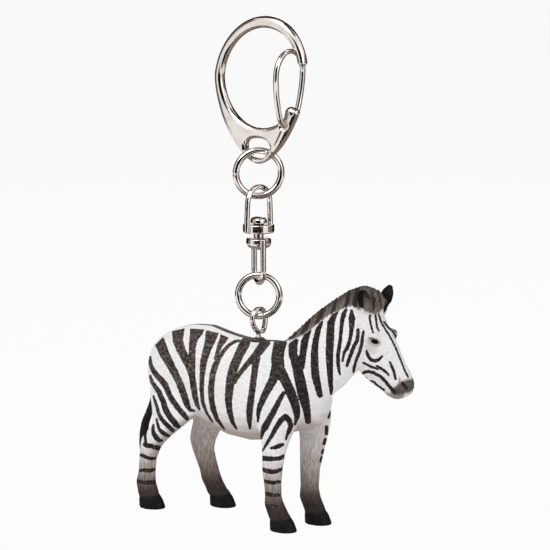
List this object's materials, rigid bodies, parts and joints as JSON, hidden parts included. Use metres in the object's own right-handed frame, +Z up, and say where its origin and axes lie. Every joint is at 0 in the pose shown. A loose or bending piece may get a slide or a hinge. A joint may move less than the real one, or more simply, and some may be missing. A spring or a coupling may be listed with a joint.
{
  "type": "zebra figure key charm",
  "caption": "Moulded zebra figure standing in mid stride, hung by a screw eye, jump rings and a swivel from a snap hook with a sprung wire gate.",
  "frame": {"origin": "inner top of the hook's bow, where it hangs on whatever holds it", "axes": "+X the way the zebra walks, +Y its left side, +Z up along the chain"},
  "size_m": [0.0731, 0.015, 0.1091],
  "materials": {
    "nickel_plate": "bright nickel plate on a casting, softly polished, a little warm",
    "nickel_wire": "bright nickel-plated steel wire",
    "painted_vinyl": "off-white moulded vinyl with hand-painted dark stripes, matt"
  },
  "bodies": {
    "hook": {"hook_frame": "nickel_plate"},
    "gate": {"gate_wire": "nickel_wire"},
    "upper_ring": {"upper_ring": "nickel_wire"},
    "swivel_bow": {"swivel_bow": "nickel_plate"},
    "swivel_eye": {"swivel_eye": "nickel_plate"},
    "lower_ring": {"lower_ring": "nickel_wire"},
    "figure": {"screw_eye": "nickel_wire", "zebra_figure": "painted_vinyl"}
  },
  "joints": [
    {"name": "gate_hinge", "type": "hinge", "parent": "hook", "child": "gate", "pos_m": [0.0075, 0, -0.0202], "axis": [0, -1, 0], "range_deg": [0, 40], "stiffness_Nm_per_rad": 0.02, "springref_deg": -11.46},
    {"name": "upper_ring_swing", "type": "hinge", "parent": "hook", "child": "upper_ring", "pos_m": [0, 0, -0.0283], "axis": [1, 0, 0], "range_deg": [-25, 40]},
    {"name": "bow_swing", "type": "hinge", "parent": "upper_ring", "child": "swivel_bow", "pos_m": [0, 0, -0.03587], "axis": [0.7071, 0.7071, 0], "range_deg": [-35, 35]},
    {"name": "swivel_spin", "type": "hinge", "parent": "swivel_bow", "child": "swivel_eye", "pos_m": [0, 0, -0.04185], "axis": [0, 0, 1], "continuous": true},
    {"name": "lower_ring_swing", "type": "hinge", "parent": "swivel_eye", "child": "lower_ring", "pos_m": [0, 0, -0.05452], "axis": [0.8387, -0.5446, 0], "range_deg": [-50, 50]},
    {"name": "figure_swing", "type": "hinge", "parent": "lower_ring", "child": "figure", "pos_m": [0, 0, -0.06193], "axis": [0.8988, 0.4384, 0], "range_deg": [-60, 60]}
  ]
}
